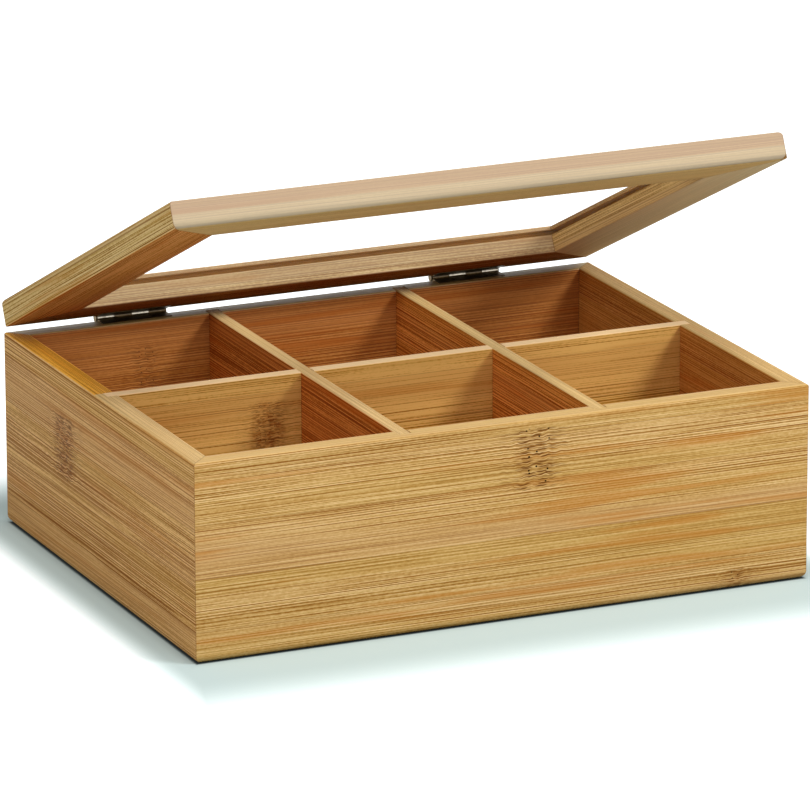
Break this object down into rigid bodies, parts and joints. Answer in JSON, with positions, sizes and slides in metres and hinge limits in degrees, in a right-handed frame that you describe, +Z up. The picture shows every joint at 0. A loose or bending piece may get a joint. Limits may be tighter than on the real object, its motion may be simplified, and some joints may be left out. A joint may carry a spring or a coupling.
{
  "type": "tea box",
  "caption": "Bamboo tea box: mitred walls, crossing dividers that make equal compartments, and a hinged framed lid with a clear window.",
  "frame": {"origin": "centre of the box's underside, on the surface it stands on", "axes": "+X along the front towards the right end, +Y towards the hinges at the back, +Z up"},
  "size_m": [0.28, 0.2217, 0.1894],
  "materials": {
    "wall_bamboo": "satin lacquered bamboo, carbonised",
    "divider_bamboo": "satin lacquered bamboo",
    "panel_bamboo": "satin lacquered bamboo plywood",
    "lid_bamboo": "satin lacquered bamboo, carbonised",
    "clear_pane": "clear polished acrylic",
    "hinge_metal": "dark bronze plating, satin",
    "screw_metal": "dark bronze plating, satin"
  },
  "bodies": {
    "box": {"front_wall": "wall_bamboo", "back_wall": "wall_bamboo", "left_wall": "wall_bamboo", "right_wall": "wall_bamboo", "bottom_panel": "panel_bamboo", "long_divider": "divider_bamboo", "left_cross_divider": "divider_bamboo", "right_cross_divider": "divider_bamboo", "left_hinge_box_leaf": "hinge_metal", "left_hinge_pin": "hinge_metal", "right_hinge_box_leaf": "hinge_metal", "right_hinge_pin": "hinge_metal", "box_hinge_screws": "screw_metal"},
    "lid": {"lid_front_rail": "lid_bamboo", "lid_back_rail": "lid_bamboo", "lid_left_rail": "lid_bamboo", "lid_right_rail": "lid_bamboo", "window_pane": "clear_pane", "left_hinge_lid_leaf": "hinge_metal", "right_hinge_lid_leaf": "hinge_metal", "lid_hinge_screws": "screw_metal"}
  },
  "joints": [
    {"name": "lid_hinge", "type": "hinge", "parent": "box", "child": "lid", "pos_m": [0, 0.1115, 0.08625], "axis": [-1, 0, 0], "range_deg": [-25, 155]}
  ]
}
